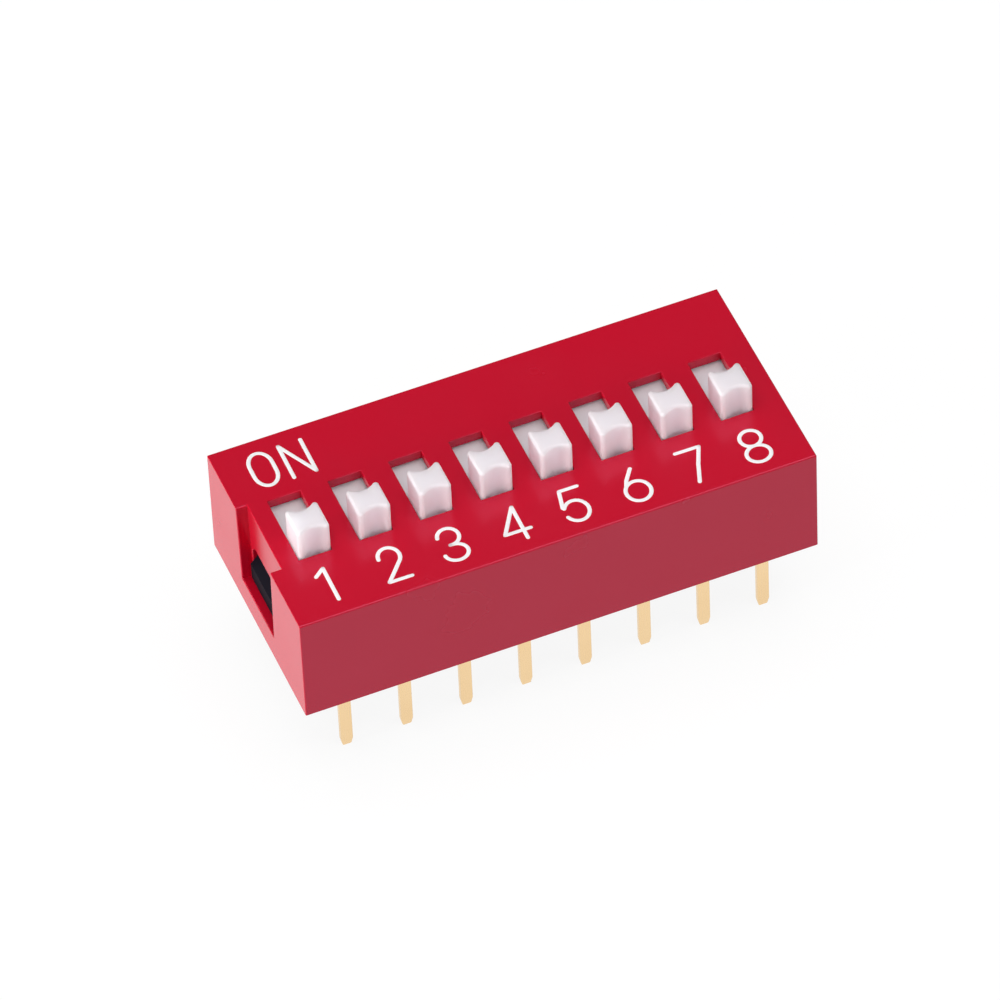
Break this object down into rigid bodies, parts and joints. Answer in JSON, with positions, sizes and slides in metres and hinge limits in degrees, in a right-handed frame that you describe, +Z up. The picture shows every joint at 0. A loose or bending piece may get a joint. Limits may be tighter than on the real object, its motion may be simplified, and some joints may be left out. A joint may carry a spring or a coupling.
{
  "type": "dip switch",
  "caption": "Row of small slide switches in a red dual in-line package with white saddle knobs and gold pins in two rows, for setting options on a circuit board.",
  "frame": {"origin": "middle of the pin grid on the seating plane, where the cover's lower rim meets the circuit board", "axes": "+X along the row from position 1 to 8, +Y to the ON side, +Z up out of the board"},
  "size_m": [0.0218, 0.0098, 0.0103],
  "materials": {
    "cover_red": "satin moulded",
    "base_black": "satin moulded",
    "slider_white": "satin moulded",
    "contact_gold": "gold plated",
    "terminal_gold": "gold plated"
  },
  "bodies": {
    "housing": {"cover": "cover_red", "base": "base_black", "terminal_1": "terminal_gold", "terminal_2": "terminal_gold", "terminal_3": "terminal_gold", "terminal_4": "terminal_gold", "terminal_5": "terminal_gold", "terminal_6": "terminal_gold", "terminal_7": "terminal_gold", "terminal_8": "terminal_gold", "terminal_9": "terminal_gold", "terminal_10": "terminal_gold", "terminal_11": "terminal_gold", "terminal_12": "terminal_gold", "terminal_13": "terminal_gold", "terminal_14": "terminal_gold", "terminal_15": "terminal_gold", "terminal_16": "terminal_gold"},
    "switch_1": {"slider_1": "slider_white", "contact_1": "contact_gold"},
    "switch_2": {"slider_2": "slider_white", "contact_2": "contact_gold"},
    "switch_3": {"slider_3": "slider_white", "contact_3": "contact_gold"},
    "switch_4": {"slider_4": "slider_white", "contact_4": "contact_gold"},
    "switch_5": {"slider_5": "slider_white", "contact_5": "contact_gold"},
    "switch_6": {"slider_6": "slider_white", "contact_6": "contact_gold"},
    "switch_7": {"slider_7": "slider_white", "contact_7": "contact_gold"},
    "switch_8": {"slider_8": "slider_white", "contact_8": "contact_gold"}
  },
  "joints": [
    {"name": "slide_1", "type": "slide", "parent": "housing", "child": "switch_1", "axis": [0, 1, 0], "range_m": [0, 0.0019]},
    {"name": "slide_2", "type": "slide", "parent": "housing", "child": "switch_2", "axis": [0, 1, 0], "range_m": [0, 0.0019]},
    {"name": "slide_3", "type": "slide", "parent": "housing", "child": "switch_3", "axis": [0, 1, 0], "range_m": [0, 0.0019]},
    {"name": "slide_4", "type": "slide", "parent": "housing", "child": "switch_4", "axis": [0, 1, 0], "range_m": [0, 0.0019]},
    {"name": "slide_5", "type": "slide", "parent": "housing", "child": "switch_5", "axis": [0, 1, 0], "range_m": [0, 0.0019]},
    {"name": "slide_6", "type": "slide", "parent": "housing", "child": "switch_6", "axis": [0, 1, 0], "range_m": [0, 0.0019]},
    {"name": "slide_7", "type": "slide", "parent": "housing", "child": "switch_7", "axis": [0, 1, 0], "range_m": [0, 0.0019]},
    {"name": "slide_8", "type": "slide", "parent": "housing", "child": "switch_8", "axis": [0, 1, 0], "range_m": [0, 0.0019]}
  ]
}
